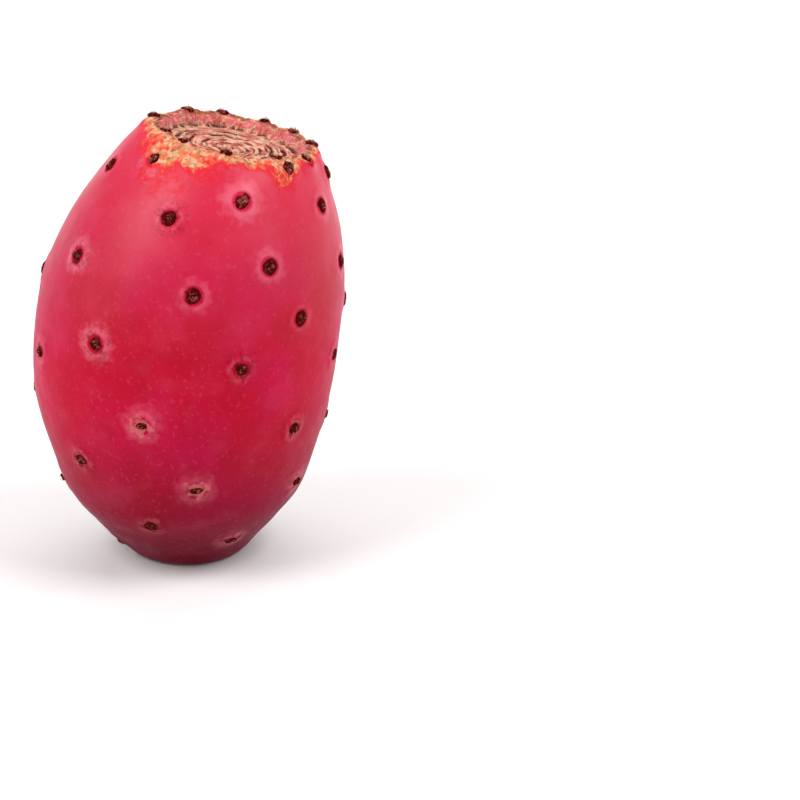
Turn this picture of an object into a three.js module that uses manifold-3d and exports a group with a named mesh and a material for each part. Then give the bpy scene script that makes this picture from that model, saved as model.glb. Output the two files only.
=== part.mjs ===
// A ripe prickly pear, the fruit of the Indian fig cactus, standing on the flat scar where it left the cactus pad.
//
// The fruit grew as one piece, so it is one solid. Its body is a barrel that leans over a little towards +X at
// the top. The crown is the shallow cup that the flower dropped from, with a rounded rim and rings of cork on its
// floor. Areoles, the dark felted buds that carry the bristles, stand in a ring on the rim and in a spiral that
// winds down the side to the base, each on its own low mound.
//
// Millimetres, +Z up. The origin is the centre of the flat scar that the fruit stands on, and -Y is its front.

import * as THREE from "three";
import { mergeVertices } from "three/addons/utils/BufferGeometryUtils.js";
import Module from "manifold-3d";

// Outline of the body as radius and height, from the scar's edge up the side, over the crown's rim, and down to
// the edge of the cup's floor.
const SCAR_RADIUS = 9.3;
const OUTLINE = [
  [SCAR_RADIUS, 0],
  [10.9, 0.8],
  [13.1, 3.3],
  [17.4, 8.0],
  [22.2, 15.0],
  [26.7, 31.0],
  [27.2, 47.8],
  [24.3, 60.3],
  [18.8, 71.2],
  [15.5, 75.9],
  [13.4, 76.9],
  [12.3, 76.2],
  [11.4, 75.3],
];
const RIM_POINT = 10; // the point of OUTLINE on the crest of the rim
const SIDES = 56;
const SIDE_ROW_SPACING = 2.6;
const RIM_ROW_SPACING = 1.0;
const RIM_ZONE = 5; // length of outline below the crest that has the closer rows

// The cork rings on the cup's floor: each is a crest and a groove, and the floor dips towards the middle.
const RING_COUNT = 5;
const RING_RELIEF = 0.5;
const FLOOR_DIP = 0.6;

// The body isn't quite round, and its top bends over: the bend starts part way up and grows with height.
const OVAL = 0.012;
const THREE_SIDED = 0.008;
const BEND_START = 25;
const BEND_OFFSET = 9.9;
const CROWN_TILT = THREE.MathUtils.degToRad(11.4);

// A ring of areoles stands on the crest of the rim, evenly spaced but for some scatter.
const RIM_AREOLE_COUNT = 11;
const RIM_FIRST_ANGLE = 130;
const RIM_ANGLE_SCATTER = 9;
const RIM_DROP_RANGE = [-0.4, 1.1]; // distance below the crest, along the outline

// The others lie on a spiral that turns by the golden angle from each to the next and crowds together upwards.
// Its first places would lie inside the rim, where the ring is instead.
const SPIRAL_FIRST = 7;
const SPIRAL_LAST = 56;
const START_ANGLE = 155.4;
const TURN = 137.79;
const START_DROP = -2.6;
const DROP_SCALE = 0.397;
const DROP_POWER = 1.326;
const ANGLE_SCATTER = 7;
const DROP_SCATTER = 1.8;
const SEED = 84648;
const RIM_DRAWS = 100; // number of the rim ring's first areole in the draw

// One areole's bud as radius and height above the skin, with a dimple on top and a root sunk into the flesh. Buds
// stand a little taller on the rim than on the side.
const BUD = [
  [0, -0.8],
  [1.05, -0.8],
  [1.2, 0.1],
  [0.8, 0.42],
  [0, 0.2],
];
const BUD_SIDES = 7;
const BUD_SIZE_RANGE = [0.86, 1.12];
const SIDE_BUD = 0.8; // height of a side bud as a share of a rim bud's
const MOUND_WIDTH = 2.6;
const SIDE_MOUND = 0.25;
const RIM_MOUND = 0.45;
const RIM_REACH = 9; // drop below the rim over which buds and mounds shrink to those of the side

const outline = new THREE.SplineCurve(
  OUTLINE.map(([radius, height]) => new THREE.Vector2(radius, height)),
);
outline.arcLengthDivisions = 2000;
const outlineLength = outline.getLength();
const rimArc = outline.getLengths()[
  Math.round((RIM_POINT / (OUTLINE.length - 1)) * outline.arcLengthDivisions)
];

// A repeatable number from 0 to 1 for areole number `index`.
function draw(index, stream) {
  const value = Math.sin(12.9898 * index + 78.233 * (SEED + stream)) * 43758.5453;
  return value - Math.floor(value);
}

// A point of the bare body, with no mounds, at an angle from the front and an arc length along the outline.
function bodyPoint(angle, arc) {
  const flat = outline.getPointAt(THREE.MathUtils.clamp(arc / outlineLength, 0, 1));
  return shaped(angle, flat.x, flat.y);
}

// Carries an angle, radius and height of the upright round body to their place on the real, leaning one.
function shaped(angle, radius, height) {
  const waist = THREE.MathUtils.smoothstep(height, 0, 20);
  const round =
    1 + waist * (OVAL * Math.cos(2 * angle + 0.6) + THREE_SIDED * Math.cos(3 * angle - 0.4));
  const x = radius * round * Math.sin(angle);
  const y = -radius * round * Math.cos(angle);
  const rise = Math.max(0, (height - BEND_START) / (OUTLINE[RIM_POINT][1] - BEND_START));
  const bend = rise * rise;
  return new THREE.Vector3(
    x + BEND_OFFSET * bend,
    y,
    height - Math.tan(CROWN_TILT) * x * bend,
  );
}

// The outward normal of the bare body.
function bodyNormal(angle, arc) {
  const step = 0.05;
  const around = bodyPoint(angle + step, arc).sub(bodyPoint(angle - step, arc));
  const along = bodyPoint(angle, arc + step).sub(bodyPoint(angle, arc - step));
  return around.cross(along).normalize();
}

// The angle in degrees of every areole, and its distance below the crest of the rim along the outline.
function spreadAreoles() {
  const rim = Array.from({ length: RIM_AREOLE_COUNT }, (_, i) => ({
    turned:
      RIM_FIRST_ANGLE +
      (360 * i) / RIM_AREOLE_COUNT +
      RIM_ANGLE_SCATTER * (2 * draw(RIM_DRAWS + i, 0) - 1),
    drop: THREE.MathUtils.lerp(...RIM_DROP_RANGE, draw(RIM_DRAWS + i, 0.5)),
  }));
  const side = Array.from({ length: SPIRAL_LAST - SPIRAL_FIRST + 1 }, (_, i) => {
    const index = SPIRAL_FIRST + i;
    return {
      turned: START_ANGLE + TURN * index + ANGLE_SCATTER * (2 * draw(index, 0) - 1),
      drop:
        START_DROP +
        DROP_SCALE * index ** DROP_POWER +
        DROP_SCATTER * (2 * draw(index, 0.5) - 1),
    };
  });
  return [...rim, ...side];
}

// Every areole's place on the skin, its outward direction, its size and the heights of its bud and its mound.
function placeAreoles() {
  return spreadAreoles().map(({ turned, drop }, index) => {
    const angle = THREE.MathUtils.degToRad(turned);
    const arc = rimArc - drop;
    const nearRim = 1 - THREE.MathUtils.smoothstep(drop, 0, RIM_REACH);
    return {
      place: bodyPoint(angle, arc),
      outward: bodyNormal(angle, arc),
      size: THREE.MathUtils.lerp(...BUD_SIZE_RANGE, draw(index, 1)),
      tall: THREE.MathUtils.lerp(SIDE_BUD, 1, nearRim),
      mound: THREE.MathUtils.lerp(SIDE_MOUND, RIM_MOUND, nearRim),
    };
  });
}

// The height of the skin above the bare body at a point near areoles.
function moundHeight(point, areoles) {
  return areoles.reduce((tallest, { place, mound }) => {
    const distance = point.distanceTo(place) / MOUND_WIDTH;
    return Math.max(tallest, mound * Math.exp(-distance * distance));
  }, 0);
}

// Arc lengths of the rows of vertices up the side, over the rim and down its inner wall.
function rowArcs() {
  const closerFrom = rimArc - RIM_ZONE;
  const sideRows = Math.round(closerFrom / SIDE_ROW_SPACING);
  const rimRows = Math.round((outlineLength - closerFrom) / RIM_ROW_SPACING);
  return [
    ...Array.from({ length: sideRows }, (_, i) => (closerFrom * i) / sideRows),
    ...Array.from(
      { length: rimRows + 1 },
      (_, i) => closerFrom + ((outlineLength - closerFrom) * i) / rimRows,
    ),
  ];
}

// The ringed floor of the crown's cup as radius and height, from its edge to just before the middle.
function floorRows() {
  const [edgeRadius, edgeHeight] = OUTLINE.at(-1);
  const steps = 2 * RING_COUNT + 1;
  return Array.from({ length: steps - 1 }, (_, i) => {
    const inwards = (i + 1) / steps;
    const relief = i % 2 === 0 ? -RING_RELIEF / 2 : RING_RELIEF / 2;
    return [edgeRadius * (1 - inwards), edgeHeight - FLOOR_DIP * inwards + relief];
  });
}

// The whole body as one closed surface: the scar, the side with its mounds, the rim and the ringed floor.
function bodyGeometry(areoles) {
  const scarCentre = [0, 0];
  const floorCentre = [0, OUTLINE.at(-1)[1] - FLOOR_DIP];
  const arcs = rowArcs();
  const profile = [
    scarCentre,
    ...arcs.map((arc) => outline.getPointAt(arc / outlineLength).toArray()),
    ...floorRows(),
    floorCentre,
  ];
  const lathe = new THREE.LatheGeometry(
    profile.map(([radius, height]) => new THREE.Vector2(radius, height)),
    SIDES,
  );
  lathe.deleteAttribute("normal");
  lathe.deleteAttribute("uv");
  const position = lathe.getAttribute("position");
  for (let i = 0; i < position.count; i++) {
    const row = i % profile.length;
    const [radius, height] = profile[row];
    const angle = (Math.floor(i / profile.length) / SIDES) * 2 * Math.PI;
    const point = shaped(angle, radius, height);
    const arc = arcs[row - 1];
    if (row > 1 && arc !== undefined) {
      point.addScaledVector(bodyNormal(angle, arc), moundHeight(point, areoles));
    }
    position.setXYZ(i, point.x, point.y, point.z);
  }
  return lathe;
}

// One bud, standing on +Z, before it is set on the skin.
function budGeometry() {
  const bud = new THREE.LatheGeometry(
    BUD.map(([radius, height]) => new THREE.Vector2(radius, height)),
    BUD_SIDES,
  );
  bud.deleteAttribute("normal");
  bud.deleteAttribute("uv");
  return bud.rotateX(Math.PI / 2);
}

function setOnSkin(bud, { place, outward, size, tall, mound }) {
  const turn = new THREE.Quaternion().setFromUnitVectors(new THREE.Vector3(0, 0, 1), outward);
  const seat = place.clone().addScaledVector(outward, mound);
  const scale = new THREE.Vector3(size, size, size * tall);
  return bud.clone().applyMatrix4(new THREE.Matrix4().compose(seat, turn, scale));
}

const wasm = await Module();
wasm.setup();

function toSolid(geometry) {
  const merged = mergeVertices(geometry, 1e-3);
  return new wasm.Manifold(
    new wasm.Mesh({
      numProp: 3,
      vertProperties: merged.attributes.position.array,
      triVerts: new Uint32Array(merged.index.array),
    }),
  );
}

function toGeometry(solid) {
  const { vertProperties, triVerts } = solid.getMesh();
  const geometry = new THREE.BufferGeometry()
    .setAttribute("position", new THREE.BufferAttribute(vertProperties, 3))
    .setIndex(new THREE.BufferAttribute(triVerts, 1));
  geometry.computeVertexNormals();
  return geometry;
}

const areoles = placeAreoles();
const bud = budGeometry();
const fruit = areoles.reduce(
  (solid, areole) => solid.add(toSolid(setOnSkin(bud, areole))),
  toSolid(bodyGeometry(areoles)),
);

const skin = new THREE.MeshStandardMaterial({ color: 0xcf2140, roughness: 0.4, metalness: 0 });
const mesh = new THREE.Mesh(toGeometry(fruit), skin);
mesh.name = "prickly_pear";

const part = new THREE.Group();
part.add(mesh);

export default part;
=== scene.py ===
import math
from bisect import bisect_left

import bmesh
import bpy
from mathutils import Matrix, Vector, geometry, kdtree, noise


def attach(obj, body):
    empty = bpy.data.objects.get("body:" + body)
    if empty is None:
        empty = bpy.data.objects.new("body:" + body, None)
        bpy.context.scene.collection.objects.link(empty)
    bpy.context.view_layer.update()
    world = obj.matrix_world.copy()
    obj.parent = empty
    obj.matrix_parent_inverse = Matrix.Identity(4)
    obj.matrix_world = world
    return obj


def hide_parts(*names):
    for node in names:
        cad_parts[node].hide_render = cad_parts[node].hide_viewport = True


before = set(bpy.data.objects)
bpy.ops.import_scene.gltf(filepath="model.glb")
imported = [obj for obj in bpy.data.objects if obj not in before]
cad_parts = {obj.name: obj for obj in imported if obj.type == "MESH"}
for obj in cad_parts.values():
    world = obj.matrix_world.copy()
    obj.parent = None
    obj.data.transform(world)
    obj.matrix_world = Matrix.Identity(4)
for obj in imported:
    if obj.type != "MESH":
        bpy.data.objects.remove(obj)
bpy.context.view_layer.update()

# --------------------------------------------------------------------------------------------------
# The body of a ripe prickly pear, grown in one piece: waxy red skin over firm flesh, on the flat scar
# where it left the cactus pad. It is turned from one outline, and then leans over at the top, where the
# cup that the flower dropped from has healed with rings of cork.
# --------------------------------------------------------------------------------------------------

# Lengths are in millimetres until a finished mesh is scaled to metres. +Z is up and -Y is the front.
MM = 0.001
SCAR_RADIUS = 9.3
OUTLINE = [  # radius and height, from the scar's edge up the side, over the rim and down into the cup
    (SCAR_RADIUS, 0.0),
    (10.9, 0.8),
    (13.1, 3.3),
    (17.4, 8.0),
    (22.2, 15.0),
    (26.7, 31.0),
    (27.2, 47.8),
    (24.3, 60.3),
    (18.8, 71.2),
    (15.5, 75.9),
    (13.4, 76.9),
    (12.3, 76.2),
    (11.4, 75.3),
]
CREST = 10  # the point of OUTLINE on the crest of the rim
OUTLINE_STEPS = 60  # from each point of OUTLINE to the next
CUP_RADIUS, CUP_HEIGHT = OUTLINE[-1]  # the edge of the cup's floor
FLOOR_DIP = 0.6  # from there to the middle of the floor

OVAL = 0.012
OVAL_PHASE = 0.6
THREE_SIDED = 0.008
THREE_SIDED_PHASE = -0.4
ROUND_FOOT = 20.0  # height over which the body turns from round to oval and three-sided
BEND_START = 25.0
BEND_OFFSET = 9.9
CROWN_TILT = math.radians(11.4)

NUDGE = 0.05  # radians or millimetres to either side over which a direction is measured
AROUND = 384  # faces round the body
SCAR_ROWS = 16
SIDE_ROW = 0.75  # height of a face on the side
FINE_ROW = 0.22  # height of a face on the rim and in the cup
FINE_ZONE = 7.0  # distance below the crest of the rim over which the rows are fine


def smoothstep(value, low, high):
    t = min(1.0, max(0.0, (value - low) / (high - low)))
    return t * t * (3 - 2 * t)


def within(limits, part):
    """The value that lies part of the way, from 0 to 1, between two limits."""
    low, high = limits
    return low + (high - low) * part


def evenly(start, end, count):
    """That many evenly spaced values from the start to just before the end."""
    return [within((start, end), i / count) for i in range(count)]


def peak(away, width):
    """A smooth peak, 1 in its middle and near 0 at twice its width away."""
    return math.exp(-((away / width) ** 2))


def smooth_line(points, steps):
    """A smooth curve through the points, as a dense list of points."""
    padded = [points[0], *points, points[-1]]
    line = []
    for before, start, end, after in zip(padded, padded[1:], padded[2:], padded[3:]):
        leaving = start + (end - before) / 6
        arriving = end - (after - start) / 6
        line += geometry.interpolate_bezier(start, leaving, arriving, end, steps + 1)[:-1]
    return [*line, points[-1]]


outline = smooth_line([Vector(point) for point in OUTLINE], OUTLINE_STEPS)
arcs = [0.0]
for start, end in zip(outline, outline[1:]):
    arcs.append(arcs[-1] + (end - start).length)
CREST_ARC = arcs[CREST * OUTLINE_STEPS]
WALL = arcs[-1] - CREST_ARC  # length of the outline from the crest down to the cup's floor


def outline_at(drop):
    """The outline's radius and height at a drop below the crest of the rim, less than 0 in the cup."""
    arc = min(arcs[-1], max(0.0, CREST_ARC - drop))
    i = max(1, bisect_left(arcs, arc))
    return outline[i - 1].lerp(outline[i], (arc - arcs[i - 1]) / (arcs[i] - arcs[i - 1]))


def shaped(angle, radius, height):
    """Carries a point of the upright round body to its place on the real, leaning one."""
    waist = smoothstep(height, 0, ROUND_FOOT)
    oval = OVAL * math.cos(2 * angle + OVAL_PHASE)
    three_sided = THREE_SIDED * math.cos(3 * angle + THREE_SIDED_PHASE)
    reach = radius * (1 + waist * (oval + three_sided))
    x = reach * math.sin(angle)
    y = -reach * math.cos(angle)
    bend = max(0.0, (height - BEND_START) / (OUTLINE[CREST][1] - BEND_START)) ** 2
    return Vector((x + BEND_OFFSET * bend, y, height - math.tan(CROWN_TILT) * x * bend))


def skin_point(angle, drop):
    return shaped(angle, *outline_at(drop))


def across_at(angle, radius, height):
    """The direction round the fruit."""
    ahead = shaped(angle + NUDGE, radius, height)
    return (ahead - shaped(angle - NUDGE, radius, height)).normalized()


def up_at(angle, drop):
    """The direction up the skin, towards the crest of the rim."""
    return (skin_point(angle, drop - NUDGE) - skin_point(angle, drop + NUDGE)).normalized()


# Areoles, the felted buds of the cactus. A ring of them stands on the rim, and the others lie on a
# spiral that turns by about the golden angle from each to the next and crowds together upwards.
RIM_AREOLES = 11
RIM_FIRST_ANGLE = 130
RIM_ANGLE_SCATTER = 9
RIM_DROPS = (-0.4, 1.1)
RIM_DRAWS = 100  # number of the rim's first areole in the draw
SPIRAL = range(7, 57)  # its first places would lie inside the rim
START_ANGLE = 155.4
TURN = 137.79
START_DROP = -2.6
DROP_SCALE = 0.397
DROP_POWER = 1.326
ANGLE_SCATTER = 7
DROP_SCATTER = 1.8
SEED = 84648
BUD_SIZES = (0.86, 1.12)
RIM_SHRINK = 0.14  # share by which the dried felt of a rim bud is narrower
LOW_DROPS = (33, 45)  # between these, buds turn to narrow slits between pale lips of dry skin
PALENESS = (0.3, 1.0)  # of the halo round an areole
MOUND_WIDTH = 2.6
MOUNDS_NEAR = 3  # mounds that are looked at for one point of the skin
SIDE_MOUND = 0.25
RIM_MOUND = 0.45
RIM_REACH = 9.0  # drop over which buds and mounds shrink to those of the side
SIDE_BUD = 0.8  # height of a side bud as a share of a rim bud's
COLLAR_RADIUS = 2.1  # of the raised skin round each bud
COLLAR_WIDTH = 0.7
COLLAR_HEIGHT = 0.09
SCAR_MARGIN = (0.5, 6.0)  # distances from the scar's edge over which mounds and swells set in


def draw(index, stream):
    """A repeatable number from 0 to 1."""
    value = math.sin(12.9898 * index + 78.233 * (SEED + stream)) * 43758.5453
    return value - math.floor(value)


def either_way(index, stream):
    return 2 * draw(index, stream) - 1


def spread_areoles():
    """The angle in degrees and the drop below the crest of every areole."""
    for i in range(RIM_AREOLES):
        turned = RIM_FIRST_ANGLE + 360 * i / RIM_AREOLES
        yield (
            turned + RIM_ANGLE_SCATTER * either_way(RIM_DRAWS + i, 0),
            within(RIM_DROPS, draw(RIM_DRAWS + i, 0.5)),
        )
    for i in SPIRAL:
        yield (
            START_ANGLE + TURN * i + ANGLE_SCATTER * either_way(i, 0),
            START_DROP + DROP_SCALE * i**DROP_POWER + DROP_SCATTER * either_way(i, 0.5),
        )


areoles = []
for index, (turned, drop) in enumerate(spread_areoles()):
    angle = math.radians(turned)
    across = across_at(angle, *outline_at(drop))
    up = up_at(angle, drop)
    near_rim = 1 - smoothstep(drop, 0, RIM_REACH)
    areoles.append(
        {
            "place": skin_point(angle, drop),
            "across": across,
            "up": up,
            "out": across.cross(up).normalized(),
            "size": within(BUD_SIZES, draw(index, 1)) * (1 - RIM_SHRINK * near_rim),
            "mound": within((SIDE_MOUND, RIM_MOUND), near_rim),
            "tall": within((SIDE_BUD, 1.0), near_rim),
            "near_rim": near_rim,
            "low": smoothstep(drop, *LOW_DROPS),
            "scabby": draw(index, 3),
            "pale": within(PALENESS, draw(index, 4)),
        }
    )

areole_tree = kdtree.KDTree(len(areoles))
for index, areole in enumerate(areoles):
    areole_tree.insert(areole["place"], index)
areole_tree.balance()

# The cup's floor has rings of cork with dark furrows between them. Where a place is multiplied by a
# number before its noise is read, the number is about the waves to a millimetre.
RING_SPACING = 2.07
SECOND_RINGS = 0.95  # how far the finer furrows lie from the others
SECOND_SHARE = 0.65  # their depth, as a share of the others'
RING_WANDER = 0.95
FAINTEST_RING = 0.4
FURROW_WIDTH = 0.3
FURROW_DEPTH = 0.55
# The furrow where the wall meets the floor is sunk, and its dark colour there is painted shade in that
# corner.
WALL_FOOT_RADIUS = CUP_RADIUS - 0.15  # of the furrow where the wall meets the floor
WALL_FOOT_WIDTH = 0.42
WALL_FOOT_DEPTHS = (0.1, 0.65)  # where it is filled and where it is open, as shares of FURROW_DEPTH
GAPS_APART = Vector((9, 4, 2))  # this and the next keep noises from rising and falling together
FINE_APART = Vector((3, 8, 5))

# Out of the cup, a ragged, faded band of cork comes down over the rim on to the skin. Two lobes of it
# come down further, each given as its angle, its spread and how much further it reaches.
BAND_REACH = 1.9
BAND_LOBES = [
    (math.radians(-32), math.radians(28), 4.3),
    (math.radians(38), math.radians(11), 3.4),
]
CORK_EDGE = (0.3, 1.1)  # shares of the band's reach between which the cork's relief ends
CORK_RAGGED = 0.3
CORK_LUMPS = 0.2
CORK_BUMPS = 0.09
CORK_GRIT = 0.07
CORK_GRAIN = 0.22
RING_GRAIN = (2.5, 1.9)  # how fine the floor's grain is round the crown and across the rings
FIBRE_GRAIN = (24, 0.4)  # how fine the wall's grain is round the crown and up and down

# Relief of the living skin, and of the stem scar, which is dished and has a raised ring of strands.
SKIN_SWELL = 0.16
SKIN_RIPPLE = 0.03
WALL_TOP = -0.8  # drop from which mounds fade out down the cup's wall
SCAR_DISH = 0.5
SCAR_LUMPS = 0.12
STRANDS_RADIUS = 4.2
STRANDS_WIDTH = 0.9
STRANDS_HEIGHT = 0.18


def band_at(angle, drop):
    """The drop as a share of the faded band's reach at that angle, below 0 in the cup."""
    if drop < 0:
        return drop / BAND_REACH
    reach = BAND_REACH
    for middle, spread, further in BAND_LOBES:
        reach += further * peak(math.remainder(angle - middle, 2 * math.pi), spread)
    return drop / reach


def line_at(value, spacing, width):
    """How near, from 0 to 1, a value is to one of a row of evenly spaced lines."""
    phase = value / spacing
    return peak((phase - math.floor(phase) - 0.5) * spacing, width)


def furrow_at(crown, radius):
    """How deep, from 0 to 1, the furrows of the cork are at a point of the upright crown."""
    wandered = radius + RING_WANDER * (noise.noise(crown * 0.11) + 0.3 * noise.noise(crown * 0.4))
    whole = smoothstep(noise.noise(crown * 0.33 + GAPS_APART), -0.35, 0.1)
    fine = smoothstep(noise.noise(crown * 0.3 + FINE_APART), -0.15, 0.2)
    width = FURROW_WIDTH * (1 + 0.9 * noise.noise(crown * 0.7))
    ring = within((FAINTEST_RING, 1.0), whole) * line_at(wandered, RING_SPACING, width)
    second = SECOND_SHARE * fine * line_at(wandered + SECOND_RINGS, RING_SPACING, 0.6 * width)
    is_open = smoothstep(noise.noise(crown * 0.8), -0.3, 0.25)
    wall_foot = within(WALL_FOOT_DEPTHS, is_open) * peak(radius - WALL_FOOT_RADIUS, WALL_FOOT_WIDTH)
    on_floor = smoothstep(CUP_RADIUS - radius, 0.2, 1.2)
    return max(wall_foot, on_floor * max(ring, second))


def grain_at(crown, radius, drop):
    """The cork's grain, from -1 to 1, along the rings on the floor and up and down elsewhere."""
    turned = Vector((crown.x, crown.y, 0)).normalized()
    rings = noise.noise(turned * RING_GRAIN[0] + Vector((0, 0, radius * RING_GRAIN[1])))
    fibres = noise.noise(turned * FIBRE_GRAIN[0] + Vector((0, 0, drop * FIBRE_GRAIN[1])))
    return within((fibres, rings), smoothstep(-drop, WALL - 0.3, WALL + 0.5))


def cork_relief(crown, radius, grain):
    """The height of the dry, torn cork over the smooth outline."""
    lumps = CORK_LUMPS * noise.noise(crown * 0.5) + CORK_BUMPS * noise.noise(crown * 1.3)
    grit = CORK_GRIT * noise.noise(crown * 2.9)
    return lumps + grit + CORK_GRAIN * grain - FURROW_DEPTH * furrow_at(crown, radius)


def scar_relief(radius, place):
    """The dished scar under the fruit, with a raised ring of dried strands. Its edge stays flat."""
    inside = smoothstep(SCAR_RADIUS - radius, 1.2, 3.2)
    strands = STRANDS_HEIGHT * peak(radius - STRANDS_RADIUS, STRANDS_WIDTH)
    return -inside * (SCAR_DISH - strands + SCAR_LUMPS * noise.noise(place * 0.9))


def drawn(shape, points):
    """Draws an open profile through points, given as radius and height, and returns its vertices."""
    verts = [shape.verts.new((0, -radius, height)) for radius, height in points]
    for pair in zip(verts, verts[1:]):
        shape.edges.new(pair)
    return verts


def turned_round(shape, steps):
    """Spins a profile all the way round +Z and closes it, with its faces pointing out."""
    bmesh.ops.spin(
        shape,
        geom=[*shape.verts, *shape.edges],
        cent=(0, 0, 0),
        axis=(0, 0, 1),
        angle=2 * math.pi,
        steps=steps,
        use_merge=True,
    )
    bmesh.ops.remove_doubles(shape, verts=shape.verts, dist=1e-4)
    bmesh.ops.recalc_face_normals(shape, faces=shape.faces)


def polar(place):
    """The angle from the front and the radius of a point of the upright body."""
    return math.atan2(place.x, -place.y), math.hypot(place.x, place.y)


body = bmesh.new()
drop_layer = body.verts.layers.float.new("drop")
areole_layer = body.verts.layers.float.new("areole")
furrow_and_foot_shade_layer = body.verts.layers.float.new("furrow_and_foot_shade")
scabby_layer = body.verts.layers.float.new("scabby")
band_layer = body.verts.layers.float.new("band")
grain_layer = body.verts.layers.float.new("grain")
pale_layer = body.verts.layers.float.new("pale")

# The profile, from the middle of the scar to the middle of the cup's floor, as radius, height and drop.
scar_rows = evenly(0.0, SCAR_RADIUS, SCAR_ROWS)
side_rows = evenly(CREST_ARC, FINE_ZONE, round((CREST_ARC - FINE_ZONE) / SIDE_ROW))
rim_rows = evenly(FINE_ZONE, -WALL, round((FINE_ZONE + WALL) / FINE_ROW))
floor_rows = [*evenly(0.0, 1.0, round(CUP_RADIUS / FINE_ROW)), 1.0]
stations = [(radius, 0.0, CREST_ARC + SCAR_RADIUS - radius) for radius in scar_rows]
stations += [(*outline_at(drop), drop) for drop in side_rows + rim_rows]
stations += [
    (CUP_RADIUS * (1 - inwards), CUP_HEIGHT - FLOOR_DIP * inwards, -WALL - CUP_RADIUS * inwards)
    for inwards in floor_rows
]

profile = drawn(body, [(radius, height) for radius, height, _ in stations])
for vert, (_, _, drop) in zip(profile, stations):
    vert[drop_layer] = drop
turned_round(body, AROUND)

# The upright body is bent into shape, and then its relief is raised along its normals.
upright = {vert: vert.co.copy() for vert in body.verts}
for vert, place in upright.items():
    vert.co = shaped(*polar(place), place.z)
body.normal_update()

for vert, place in upright.items():
    angle, radius = polar(place)
    drop = vert[drop_layer]
    nearest = areole_tree.find_n(vert.co, MOUNDS_NEAR)
    _, closest, distance = nearest[0]
    vert[areole_layer] = distance
    vert[scabby_layer] = areoles[closest]["scabby"]
    vert[pale_layer] = areoles[closest]["pale"]
    mound = max(areoles[i]["mound"] * peak(away, MOUND_WIDTH) for _, i, away in nearest)
    collar = COLLAR_HEIGHT * peak(distance - COLLAR_RADIUS, COLLAR_WIDTH)
    swell = SKIN_SWELL * noise.noise(place * 0.08) + SKIN_RIPPLE * noise.noise(place * 0.4)
    relief = (mound + collar) * smoothstep(drop, -WALL, WALL_TOP) + swell
    relief *= smoothstep(CREST_ARC - drop, *SCAR_MARGIN)
    band = band_at(angle, drop)
    vert[band_layer] = band
    cork = 1 - smoothstep(band + CORK_RAGGED * noise.noise(place * 0.6), *CORK_EDGE)
    if cork > 0:
        grain = grain_at(place, radius, drop)
        vert[grain_layer] = grain
        relief += cork * cork_relief(place, radius, grain)
        vert[furrow_and_foot_shade_layer] = cork * furrow_at(place, radius)
    if drop > CREST_ARC:
        relief = scar_relief(radius, place)
    vert.co += vert.normal * relief


def as_mesh(shape, name):
    mesh = bpy.data.meshes.new(name)
    shape.to_mesh(mesh)
    shape.free()
    return mesh


def finished(shape, name, material):
    """Turns a bmesh in millimetres into a smooth object in metres."""
    bmesh.ops.scale(shape, vec=(MM, MM, MM), verts=shape.verts)
    for face in shape.faces:
        face.smooth = True
    mesh = as_mesh(shape, name)
    mesh.materials.append(material)
    piece = bpy.data.objects.new(name, mesh)
    bpy.context.scene.collection.objects.link(piece)
    return piece


def linear(channel):
    """A screen's channel, from 0 to 255, as linear light."""
    if channel > 10:
        return ((channel / 255 + 0.055) / 1.055) ** 2.4
    return channel / 255 / 12.92


def colour(red, green, blue):
    """A colour picked on a screen, as the shader takes it."""
    return (linear(red), linear(green), linear(blue), 1.0)


def add(tree, kind, settings=None, **inputs):
    """Adds a node. Its inputs are named, or numbered from _0. A socket is linked, and a value is set."""
    made = tree.nodes.new(kind)
    for name, value in (settings or {}).items():
        setattr(made, name, value)
    for name, value in inputs.items():
        socket = made.inputs[int(name[1:]) if name[1:].isdigit() else name.replace("_", " ")]
        if isinstance(value, bpy.types.NodeSocket):
            tree.links.new(value, socket)
        else:
            socket.default_value = value
    return made


def mottle_group():
    """A mask of soft patches, fixed to the piece. It goes from 0 to 1 as noise goes from low to high."""
    tree = bpy.data.node_groups.new("mottle", "ShaderNodeTree")
    for name in ("Size", "Detail", "Low", "High", "Shift"):
        tree.interface.new_socket(name, in_out="INPUT", socket_type="NodeSocketFloat")
    tree.interface.new_socket("Mask", in_out="OUTPUT", socket_type="NodeSocketFloat")
    given = tree.nodes.new("NodeGroupInput").outputs
    place = add(tree, "ShaderNodeTexCoord").outputs["Object"]
    per_size = add(tree, "ShaderNodeMath", {"operation": "DIVIDE"}, _0=1 / MM, _1=given["Size"])
    scaled = add(
        tree, "ShaderNodeVectorMath", {"operation": "SCALE"}, Vector=place, Scale=per_size.outputs[0]
    )
    shifted = add(
        tree, "ShaderNodeVectorMath", {"operation": "ADD"}, _0=scaled.outputs[0], _1=given["Shift"]
    )
    cloud = add(
        tree, "ShaderNodeTexNoise", Vector=shifted.outputs[0], Scale=1.0, Detail=given["Detail"]
    )
    level = add(
        tree,
        "ShaderNodeMapRange",
        {"interpolation_type": "SMOOTHSTEP"},
        Value=cloud.outputs["Fac"],
        From_Min=given["Low"],
        From_Max=given["High"],
    )
    out = tree.nodes.new("NodeGroupOutput")
    tree.links.new(level.outputs[0], out.inputs["Mask"])
    return tree


MOTTLE = mottle_group()


def mottle(tree, size, low, high, detail=3.0, shift=0.0):
    """The mask for patches of about that size in millimetres. Another shift gives other patches."""
    patches = add(
        tree,
        "ShaderNodeGroup",
        {"node_tree": MOTTLE},
        Size=size,
        Detail=detail,
        Low=low,
        High=high,
        Shift=shift,
    )
    return patches.outputs["Mask"]


def measured(tree, name):
    """What the mesh keeps by that name at each vertex."""
    return add(tree, "ShaderNodeAttribute", {"attribute_name": name}).outputs["Fac"]


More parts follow.
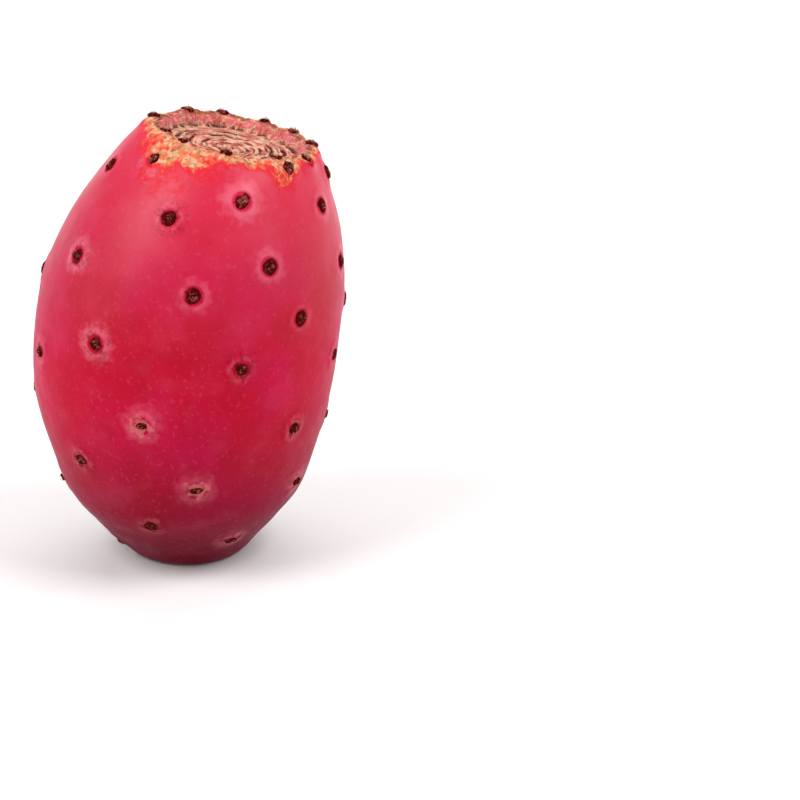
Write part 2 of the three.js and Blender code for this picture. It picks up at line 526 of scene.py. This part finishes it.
def between(tree, value, low, high, start=0.0, end=1.0):
    """Goes smoothly from start to end as the value goes from low to high."""
    made = add(
        tree,
        "ShaderNodeMapRange",
        {"interpolation_type": "SMOOTHSTEP"},
        Value=value,
        From_Min=low,
        From_Max=high,
        To_Min=start,
        To_Max=end,
    )
    return made.outputs[0]


def maths(tree, operation, first, second):
    return add(tree, "ShaderNodeMath", {"operation": operation}, _0=first, _1=second).outputs[0]


def times(tree, first, second):
    return maths(tree, "MULTIPLY", first, second)


def plus(tree, first, second):
    return maths(tree, "ADD", first, second)


def tint(tree, mask, under, over):
    """Lays one colour over another where the mask is 1."""
    return add(tree, "ShaderNodeMix", {"data_type": "RGBA"}, _0=mask, _6=under, _7=over).outputs[2]


def bumped(tree, height, depth):
    """A normal that makes a height from 0 to 1 look that deep, in millimetres."""
    return add(tree, "ShaderNodeBump", Strength=1.0, Distance=depth * MM, Height=height).outputs[0]


def new_material(name, finish):
    """A new material whose surface has the same finish everywhere, with its nodes and that surface."""
    material = bpy.data.materials.new(name)
    material.use_nodes = True
    surface = material.node_tree.nodes["Principled BSDF"]
    for socket, value in finish.items():
        surface.inputs[socket].default_value = value
    return material, material.node_tree, surface


CRIMSON = colour(176, 6, 40)
RASPBERRY = colour(182, 10, 60)
GARNET = colour(154, 4, 28)
SCARLET = colour(204, 32, 64)
# Wine red, for painted shade on the lower part of the fruit
BASE_SHADE_WINE = colour(88, 0, 14)
WAX = colour(222, 112, 140)
HALO = colour(222, 116, 136)
# Dark maroon, for the areoles' own stain and scabby specks, and for painted shade round the foot of each
# bud
BUD_STAIN_AND_SHADE = colour(98, 3, 14)
LIPS = colour(196, 104, 104)
BLUSH = colour(208, 34, 44)
ORANGE = colour(220, 96, 66)
YELLOW = colour(220, 142, 90)
CREAM = colour(232, 178, 144)
ROSE_CORK = colour(206, 106, 92)
PINK_WALL = colour(238, 124, 136)
CORK_CREST = colour(240, 184, 156)
OLIVE_CORK = colour(128, 90, 58)
# Dark, for the furrows of the cork and for painted shade where the cup's wall meets its floor
FURROW = colour(82, 26, 24)
CREST_BROWN = colour(132, 62, 50)
SCAR_TAN = colour(182, 142, 100)
SCAR_BROWN = colour(112, 66, 44)
SKIN_FINISH = {
    "IOR": 1.3,
    "Specular IOR Level": 0.07,
    "Coat Roughness": 0.42,
    "Coat IOR": 1.45,
    "Sheen Weight": 0.09,
    "Sheen Roughness": 0.5,
    "Sheen Tint": (1.0, 0.3, 0.6, 1.0),
}
SKIN_ROUGHNESS = (0.38, 0.5)
CORK_ROUGHNESS = 0.85
SKIN_BUMP = 0.25


def red_skin(tree, drop):
    """Waxy skin with pale flecks, scarlet near the crown, and darkened to wine red towards the scar as
    painted shade.
    """
    skin = tint(tree, mottle(tree, 17, 0.38, 0.62), CRIMSON, RASPBERRY)
    skin = tint(tree, times(tree, mottle(tree, 5, 0.35, 0.7, shift=21.0), 0.3), skin, GARNET)
    skin = tint(tree, between(tree, drop, 2, 30, 0.8, 0.0), skin, SCARLET)
    # Painted shade: the skin darkens to wine red towards the scar.
    skin = tint(tree, between(tree, drop, 42, 82, 0.0, 0.9), skin, BASE_SHADE_WINE)
    skin = tint(tree, times(tree, mottle(tree, 5, 0.45, 0.75, shift=5.0), 0.05), skin, WAX)
    flecks = mottle(tree, 0.8, 0.58, 0.7, detail=2.0, shift=2.0)
    return tint(tree, times(tree, flecks, 0.07), skin, WAX)


def areole_marks(tree, skin, drop, areole):
    """A pale halo round each areole and a dark ring round its bud, partly the areole's own stain and
    partly painted shade where the bud meets the skin, with scabby specks by some, and pale lips of dry
    skin instead of the dark ring by the lower ones."""
    pale = measured(tree, "pale")
    spread = times(tree, areole, between(tree, pale, *PALENESS, 1.5, 0.85))
    ragged = plus(tree, spread, times(tree, mottle(tree, 1.5, 0.3, 0.7), 1.2))
    halo = times(tree, between(tree, areole, 1.5, 2.1), between(tree, ragged, 2.0, 4.6, 1.0, 0.0))
    strength = times(tree, pale, between(tree, drop, 30, 60, 0.46, 0.2))
    skin = tint(tree, times(tree, halo, strength), skin, HALO)

    specks = mottle(tree, 0.7, 0.5, 0.6, shift=8.0)
    scab = times(tree, specks, between(tree, areole, 1.8, 4.6, 0.5, 0.0))
    scab = times(tree, scab, between(tree, measured(tree, "scabby"), 0.75, 0.9))
    skin = tint(tree, scab, skin, BUD_STAIN_AND_SHADE)

    low = times(tree, between(tree, drop, *LOW_DROPS), pale)
    # The dark ring round each bud: partly the areole's own stain, partly painted shade at the bud's
    # foot.
    blot = plus(tree, areole, times(tree, mottle(tree, 1.4, 0.35, 0.65, shift=12.0), 0.9))
    stain_and_shade = times(
        tree, between(tree, blot, 1.4, 1.9, 0.95, 0.0), between(tree, low, 0.1, 0.9, 1.0, 0.2)
    )
    skin = tint(tree, stain_and_shade, skin, BUD_STAIN_AND_SHADE)
    lips = plus(tree, areole, times(tree, mottle(tree, 1.3, 0.35, 0.65, shift=24.0), 1.7))
    lips = times(tree, between(tree, lips, 1.8, 3.2, 0.75, 0.0), between(tree, low, 0.1, 0.9))
    return tint(tree, lips, skin, LIPS)


def ragged_band(tree, grain):
    """The faded band's measure, as in band_at, made ragged. The band ends at about 1."""
    coarse = times(tree, mottle(tree, 2.6, 0.35, 0.65, shift=3.0), 0.6)
    fine = times(tree, mottle(tree, 0.7, 0.35, 0.65, shift=13.0), 0.35)
    edge = plus(tree, plus(tree, measured(tree, "band"), coarse), fine)
    return plus(tree, edge, times(tree, grain, 0.15))


def faded_band(tree, skin, edge):
    """The band round the crown, where red blushes to orange, then yellow and cream."""
    skin = tint(tree, between(tree, edge, 1.25, 2.2, 0.9, 0.0), skin, BLUSH)
    skin = tint(tree, between(tree, edge, 1.15, 1.45, 0.85, 0.0), skin, ORANGE)
    faded = tint(tree, mottle(tree, 0.9, 0.42, 0.58, shift=14.0), YELLOW, CREAM)
    faded = tint(tree, times(tree, mottle(tree, 1.5, 0.51, 0.63, shift=19.0), 0.65), faded, ORANGE)
    skin = tint(tree, between(tree, edge, 0.9, 1.2, 1.0, 0.0), skin, faded)
    specks = mottle(tree, 0.8, 0.56, 0.62, shift=15.0)
    specks = times(tree, specks, between(tree, edge, 1.0, 1.5, 0.65, 0.0))
    return tint(tree, specks, skin, OLIVE_CORK)


def dry_cup(tree, drop, grain):
    """The cup: a pinkish wall, patched with cork, and the floor of cork."""
    wall = tint(tree, between(tree, grain, -0.1, 0.35), PINK_WALL, ROSE_CORK)
    wall = tint(tree, times(tree, mottle(tree, 2.5, 0.54, 0.64, shift=16.0), 0.6), wall, ORANGE)
    wall = tint(tree, mottle(tree, 0.8, 0.54, 0.64, shift=17.0), wall, CREAM)
    cork = tint(tree, between(tree, grain, -0.12, 0.35), CORK_CREST, ROSE_CORK)
    cork = tint(tree, between(tree, grain, -0.6, -0.3, 0.7, 0.0), cork, OLIVE_CORK)
    cork = tint(tree, times(tree, mottle(tree, 4, 0.52, 0.7, shift=18.0), 0.4), cork, OLIVE_CORK)
    cup = tint(tree, between(tree, drop, -WALL, -WALL + 1.0), cork, wall)
    return tint(tree, times(tree, mottle(tree, 0.6, 0.55, 0.68, shift=6.0), 0.5), cup, OLIVE_CORK)


def browned(tree, skin, drop):
    """Brown patches along the crest of the rim, dark furrows in the cork, and painted shade in the
    furrow where the cup's wall meets its floor.
    """
    crest = times(tree, between(tree, drop, -1.0, -0.3), between(tree, drop, 0.0, 0.7, 0.85, 0.0))
    crest = times(tree, crest, mottle(tree, 1.1, 0.38, 0.52, shift=23.0))
    skin = tint(tree, crest, skin, CREST_BROWN)
    furrow_and_foot_shade = measured(tree, "furrow_and_foot_shade")
    skin = tint(tree, between(tree, furrow_and_foot_shade, 0.1, 0.4, 0.0, 0.6), skin, OLIVE_CORK)
    return tint(tree, between(tree, furrow_and_foot_shade, 0.22, 0.6, 0.0, 0.92), skin, FURROW)


def stem_scar(tree, drop):
    """The scar: tan, with a brown edge and a ring of brown strands half way in."""
    wandering = plus(tree, drop, times(tree, mottle(tree, 1.6, 0.3, 0.7, shift=4.0), 1.6))
    scar = tint(
        tree, between(tree, wandering, CREST_ARC + 1.2, CREST_ARC + 3.2), SCAR_BROWN, SCAR_TAN
    )
    outside = between(tree, wandering, CREST_ARC + 4.6, CREST_ARC + 5.6)
    inside = between(tree, wandering, CREST_ARC + 6.0, CREST_ARC + 7.4, 1.0, 0.0)
    strands = times(tree, times(tree, outside, inside), mottle(tree, 0.9, 0.46, 0.54, shift=20.0))
    scar = tint(tree, strands, scar, SCAR_BROWN)
    spots = mottle(tree, 0.7, 0.5, 0.65, shift=22.0)
    return tint(tree, times(tree, spots, 0.4), scar, SCAR_BROWN)


def skin_relief(tree, areole, dry):
    """Pores and soft swells in the skin, a collar round each areole, and grit on dry cork."""
    pores = times(tree, mottle(tree, 0.55, 0.3, 0.7, detail=2.0, shift=7.0), 0.06)
    swells = times(tree, mottle(tree, 4.5, 0.1, 0.9, shift=9.0), 0.35)
    collar = times(tree, between(tree, areole, 1.2, 2.0), between(tree, areole, 2.0, 3.4, 0.5, 0.0))
    grit = times(tree, dry, mottle(tree, 0.45, 0.3, 0.7, detail=5.0, shift=10.0))
    return plus(tree, plus(tree, pores, swells), plus(tree, collar, grit))


def skin_material():
    material, tree, surface = new_material("fruit_skin", SKIN_FINISH)
    drop = measured(tree, "drop")
    areole = measured(tree, "areole")
    grain = measured(tree, "grain")
    edge = ragged_band(tree, grain)
    on_scar = between(tree, drop, CREST_ARC - 0.6, CREST_ARC + 0.5)

    skin = areole_marks(tree, red_skin(tree, drop), drop, areole)
    skin = faded_band(tree, skin, edge)
    in_cup = between(tree, edge, 0.0, 0.4, 1.0, 0.0)
    skin = browned(tree, tint(tree, in_cup, skin, dry_cup(tree, drop, grain)), drop)
    skin = tint(tree, on_scar, skin, stem_scar(tree, drop))
    tree.links.new(skin, surface.inputs["Base Color"])

    # Cork and scar are dull. The wax on the skin is a thin coat, thickest near the crown.
    dry = maths(tree, "MAXIMUM", between(tree, edge, 0.7, 1.3, 1.0, 0.0), on_scar)
    waxy = between(tree, mottle(tree, 3.5, 0.2, 0.8, shift=1.0), 0.0, 1.0, *SKIN_ROUGHNESS)
    roughness = add(tree, "ShaderNodeMix", {"data_type": "FLOAT"}, _0=dry, _2=waxy, _3=CORK_ROUGHNESS)
    tree.links.new(roughness.outputs[0], surface.inputs["Roughness"])
    wax = times(tree, between(tree, drop, 10, 42, 0.7, 0.05), between(tree, areole, 1.3, 2.2))
    wax = times(tree, wax, between(tree, edge, 1.2, 2.2))
    tree.links.new(wax, surface.inputs["Coat Weight"])
    relief = skin_relief(tree, areole, dry)
    tree.links.new(bumped(tree, relief, SKIN_BUMP), surface.inputs["Normal"])
    return material


fruit_body = finished(body, "fruit_body", skin_material())
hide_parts("prickly_pear")
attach(fruit_body, "root")

# --------------------------------------------------------------------------------------------------
# The areoles: small dark cushions of short felt, each grown out of its own mound of skin, with a
# dimple on top where the bristles come out. Low on the fruit they have dried to narrow slits.
# --------------------------------------------------------------------------------------------------

BUD_OUTLINE = [  # radius and height
    (0.0, -0.7),
    (0.9, -0.7),
    (1.16, -0.2),
    (1.18, 0.02),
    (0.98, 0.28),
    (0.66, 0.4),
    (0.3, 0.26),
    (0.0, 0.12),
]
BUD_STEPS = 3  # from each point of BUD_OUTLINE to the next
BUD_AROUND = 20
BUD_LENGTH = 1.1  # along the fruit, as a share of its width
SLIT_LENGTH = 0.5
BUD_LUMPS = 0.26
FELT_TEARS = (0.13, 0.3)  # how rough the felt is, on the side and on the rim
PALE_DRIED = 0.5  # how much more the felt of a side bud has dried where the halo is pale
RIM_DRIED = 0.12  # how much the felt of a rim bud has dried
BUDS_APART = 7.3  # from each bud to the next in the noise, so that no two are alike
FELT = colour(78, 2, 6)
RUST = colour(122, 44, 30)
FLESH = colour(140, 60, 54)
FELT_BUMP = 0.15


def bud_mesh():
    """One smooth bud, standing on +Z."""
    bud = bmesh.new()
    line = smooth_line([Vector(point) for point in BUD_OUTLINE], BUD_STEPS)
    drawn(bud, [(max(0.0, radius), height) for radius, height in line])
    turned_round(bud, BUD_AROUND)
    return as_mesh(bud, "bud")


def copied_into(shape, mesh):
    """Adds a copy of a mesh to a bmesh and returns the copy's vertices."""
    before = len(shape.verts)
    shape.from_mesh(mesh)
    shape.verts.ensure_lookup_table()
    return shape.verts[before:]


def bud_placing(areole):
    """Sets the bud on an areole's mound, at its size."""
    length = within((BUD_LENGTH, SLIT_LENGTH), areole["low"] * areole["pale"])
    axes = (areole["across"], areole["up"] * length, areole["out"] * areole["tall"])
    turn = Matrix(axes).transposed().to_4x4()
    seat = areole["place"] + areole["out"] * areole["mound"]
    return Matrix.Translation(seat) @ turn @ Matrix.Scale(areole["size"], 4)


bud = bud_mesh()
buds = bmesh.new()
fleck_layer = buds.verts.layers.float.new("fleck")
for index, areole in enumerate(areoles):
    verts = copied_into(buds, bud)
    apart = Vector((index * BUDS_APART, 0, 0))
    tears = within(FELT_TEARS, areole["near_rim"])
    dried = within((PALE_DRIED * (areole["pale"] - 1), RIM_DRIED), areole["near_rim"])
    for vert in verts:
        lump = BUD_LUMPS * noise.noise(vert.co * 0.9 + apart)
        lump += tears * noise.noise(vert.co * 2.4 + apart)
        vert[fleck_layer] = noise.noise(vert.co * 1.3 - apart) + dried
        vert.co += vert.co.normalized() * lump
    bmesh.ops.transform(buds, matrix=bud_placing(areole), verts=verts)
bpy.data.meshes.remove(bud)


def felt_material():
    material, tree, surface = new_material(
        "areole_felt", {"Roughness": 0.95, "Specular IOR Level": 0.05}
    )
    base = tint(tree, mottle(tree, 0.7, 0.5, 0.75), FELT, RUST)
    base = tint(tree, between(tree, measured(tree, "fleck"), 0.16, 0.42), base, FLESH)
    tree.links.new(base, surface.inputs["Base Color"])
    pile = mottle(tree, 0.22, 0.3, 0.7, detail=4.0)
    tree.links.new(bumped(tree, pile, FELT_BUMP), surface.inputs["Normal"])
    return material


areole_buds = finished(buds, "areole_buds", felt_material())
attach(areole_buds, "root")

# --------------------------------------------------------------------------------------------------
# The bristles: stiff straw-coloured hairs, about a millimetre long, that stand in a loose tuft on every
# areole. They are longest and thickest set on the rim.
# --------------------------------------------------------------------------------------------------

TUFT = (5, 18)  # bristles on an areole of the side and of the rim
TUFT_DRAWS = 20  # numbers in the draw that are kept for each tuft
BRISTLE_DRAWS = 1000  # number of the first bristle in the draw
BRISTLE_LENGTHS = (0.7, 1.1)
LENGTH_SCATTER = (0.6, 1.2)
BRISTLE_RADIUS = 0.06
BRISTLE_TIP = 0.012
BRISTLE_SPREAD = 0.75
ROOT_SPREAD = 0.56
ROOT_HEIGHT = 0.15  # above the mound, in the bud's dimple
BRISTLE_MIDDLE = 0.45  # of its length above its root, so that its foot is sunk in the felt
PALE_STRAW = colour(214, 168, 128)
BROWN_STRAW = colour(130, 66, 48)


def aside(areole, key, stream):
    """A random step along the skin at an areole, at most 1 either way."""
    return areole["across"] * either_way(key, stream) + areole["up"] * either_way(key, stream + 1)


bristles = bmesh.new()
for index, areole in enumerate(areoles):
    near_rim = areole["near_rim"]
    foot = areole["place"] + areole["out"] * (areole["mound"] + ROOT_HEIGHT * areole["tall"])
    for i in range(round(within(TUFT, near_rim))):
        key = BRISTLE_DRAWS + TUFT_DRAWS * index + i
        length = within(BRISTLE_LENGTHS, near_rim * draw(key, 0))
        length *= within(LENGTH_SCATTER, draw(key, 1))
        lean = areole["out"] + BRISTLE_SPREAD * aside(areole, key, 2)
        root = foot + ROOT_SPREAD * aside(areole, key, 4)
        middle = root + lean.normalized() * length * BRISTLE_MIDDLE
        bmesh.ops.create_cone(
            bristles,
            cap_ends=True,
            segments=3,
            radius1=BRISTLE_RADIUS,
            radius2=BRISTLE_TIP,
            depth=length,
            matrix=Matrix.Translation(middle) @ lean.to_track_quat("Z", "Y").to_matrix().to_4x4(),
        )


def bristle_material():
    material, tree, surface = new_material("bristle_straw", {"Roughness": 0.5})
    base = tint(tree, mottle(tree, 1.2, 0.4, 0.6), PALE_STRAW, BROWN_STRAW)
    tree.links.new(base, surface.inputs["Base Color"])
    return material


areole_bristles = finished(bristles, "areole_bristles", bristle_material())
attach(areole_bristles, "root")

# --------------------------------------------------------------------------------------------------
# The shreds: dry strands of the fallen flower and of torn cork, which stand off the rim and the wall of
# the crown and lie along the rings of its floor.
# --------------------------------------------------------------------------------------------------

SHREDS = 190
SHRED_DRAWS = 5000  # number of the first shred in the draw
SHRED_DROPS = (-WALL - 3, 1.6)
SHRED_LENGTHS = (0.8, 2.2)
SHRED_WIDTHS = (0.14, 0.3)
SHRED_THICKNESS = 0.4  # as a share of its width
SHRED_TIP = 0.24  # width of its tip, as a share of its width
SHRED_CURL = 0.35  # as a share of its length, at most
SHRED_LIFT = 0.3  # how far shreds stand off the crown
RING_STRAY = 0.25  # how far those on the floor stray from the rings
WALL_STRAY = 0.9  # how far the others stray from straight up


def shred_mesh():
    """One tapering, flattened shred, 1 long and 1 wide, standing on +Z."""
    shred = bmesh.new()
    bmesh.ops.create_cone(shred, cap_ends=True, segments=6, radius1=0.5, radius2=SHRED_TIP / 2, depth=1)
    long_edges = [edge for edge in shred.edges if abs(edge.verts[0].co.z - edge.verts[1].co.z) > 0.5]
    bmesh.ops.subdivide_edges(shred, edges=long_edges, cuts=3)
    bmesh.ops.translate(shred, vec=(0, 0, 0.5), verts=shred.verts)
    bmesh.ops.scale(shred, vec=(1, SHRED_THICKNESS, 1), verts=shred.verts)
    return as_mesh(shred, "shred")


def shred_place(key):
    """Where a shred starts, the direction that it lies in, and the direction out of the crown there."""
    angle = 2 * math.pi * draw(key, 0)
    drop = within(SHRED_DROPS, draw(key, 1))
    radius, height = outline_at(drop)
    on_floor = drop < -WALL
    if on_floor:
        radius = CUP_RADIUS + drop + WALL
    across = across_at(angle, radius, height)
    if on_floor:
        inwards = Vector((-math.sin(angle), math.cos(angle), 0))
        out = inwards.cross(across).normalized()
        along = (across + RING_STRAY * either_way(key, 2) * inwards).normalized()
    else:
        up = up_at(angle, drop)
        out = across.cross(up).normalized()
        along = (up + WALL_STRAY * either_way(key, 2) * across).normalized()
    along = (along + SHRED_LIFT * draw(key, 3) * out).normalized()
    return shaped(angle, radius, height), along, out


shred = shred_mesh()
shreds = bmesh.new()
for i in range(SHREDS):
    key = SHRED_DRAWS + i
    start, along, out = shred_place(key)
    side = out.cross(along).normalized()
    length = within(SHRED_LENGTHS, draw(key, 4))
    width = within(SHRED_WIDTHS, draw(key, 5))
    curl = SHRED_CURL * length * either_way(key, 6)
    for vert in copied_into(shreds, shred):
        flat = vert.co.copy()
        sideways = side * (flat.x * width - curl * flat.z**2)
        vert.co = start + sideways + along.cross(side) * flat.y * width + along * flat.z * length
bpy.data.meshes.remove(shred)


def shred_material():
    material, tree, surface = new_material("dry_shreds", {"Roughness": 0.85})
    base = tint(tree, mottle(tree, 1.4, 0.45, 0.55), CREAM, ROSE_CORK)
    base = tint(tree, mottle(tree, 1.8, 0.54, 0.6, shift=4.0), base, OLIVE_CORK)
    tree.links.new(base, surface.inputs["Base Color"])
    return material


crown_shreds = finished(shreds, "crown_shreds", shred_material())
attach(crown_shreds, "root")

# --------------------------------------------------------------------------------------------------
# The studio: a white table that glows far off, two large soft lamps at the upper left and right, a weak
# one low at the left, one over the table behind, and pale light from all round, white at the horizon.
# --------------------------------------------------------------------------------------------------

TABLE_HALF = 3.0
TABLE_GLOW = (0.3, 0.9)  # distances over which the glow sets in
HORIZON = (0.15, 0.22)  # upward parts of directions, between which the sky darkens
HORIZON_STRENGTH = 1.0
SKY_STRENGTH = 0.26

table_mesh = bmesh.new()
bmesh.ops.create_grid(table_mesh, x_segments=1, y_segments=1, size=TABLE_HALF / MM)
white, white_tree, paper = new_material(
    "white_table",
    {"Base Color": (0.9, 0.9, 0.9, 1.0), "Roughness": 0.8, "Emission Strength": 0.8},
)
table_place = add(white_tree, "ShaderNodeTexCoord").outputs["Object"]
away = add(white_tree, "ShaderNodeVectorMath", {"operation": "LENGTH"}, Vector=table_place)
glow = between(white_tree, away.outputs["Value"], *TABLE_GLOW)
white_tree.links.new(glow, paper.inputs["Emission Color"])
table = finished(table_mesh, "table", white)


def lamp(name, place, aim, size, power):
    """A square soft lamp that the camera doesn't see, with its place and aim in metres."""
    light = bpy.data.lights.new(name, "AREA")
    light.size = size
    light.energy = power
    holder = bpy.data.objects.new(name, light)
    holder.location = place
    holder.rotation_euler = (Vector(aim) - Vector(place)).to_track_quat("-Z", "Y").to_euler()
    holder.visible_camera = False
    bpy.context.scene.collection.objects.link(holder)


lamp("key", (-0.52, -0.33, 0.68), (0, 0, 0.045), 0.5, 5.0)
lamp("fill", (0.56, -0.2, 0.68), (0, 0, 0.05), 0.5, 5.0)
lamp("side", (-0.6, -0.2, 0.2), (0, 0, 0.03), 0.4, 0.6)
lamp("behind", (0.05, 0.65, 0.75), (0.05, 0.55, 0), 1.0, 5.5)

world = bpy.data.worlds.new("studio")
world.use_nodes = True
sky = world.node_tree
background = sky.nodes["Background"]
direction = add(sky, "ShaderNodeTexCoord").outputs["Generated"]
upwards = add(sky, "ShaderNodeSeparateXYZ", Vector=direction).outputs["Z"]
strength = between(sky, upwards, *HORIZON, HORIZON_STRENGTH, SKY_STRENGTH)
background.inputs["Color"].default_value = (1, 1, 1, 1)
sky.links.new(strength, background.inputs["Strength"])
bpy.context.scene.world = world
bpy.context.scene.view_settings.view_transform = "Standard"

# The camera looks down on the fruit from the front. The fruit stands left of the middle of the picture.
CAMERA_TARGET = Vector((38.8, 0, 28.1)) * MM
CAMERA_ELEVATION = math.radians(20)
CAMERA_DISTANCE = 450 * MM
CAMERA_LENS = 112.4
camera_data = bpy.data.cameras.new("camera")
camera_data.lens = CAMERA_LENS
camera_data.clip_start = 0.01
camera = bpy.data.objects.new("camera", camera_data)
back = Vector((0, -math.cos(CAMERA_ELEVATION), math.sin(CAMERA_ELEVATION)))
camera.location = CAMERA_TARGET + back * CAMERA_DISTANCE
camera.rotation_euler = back.to_track_quat("Z", "Y").to_euler()
bpy.context.scene.collection.objects.link(camera)
bpy.context.scene.camera = camera
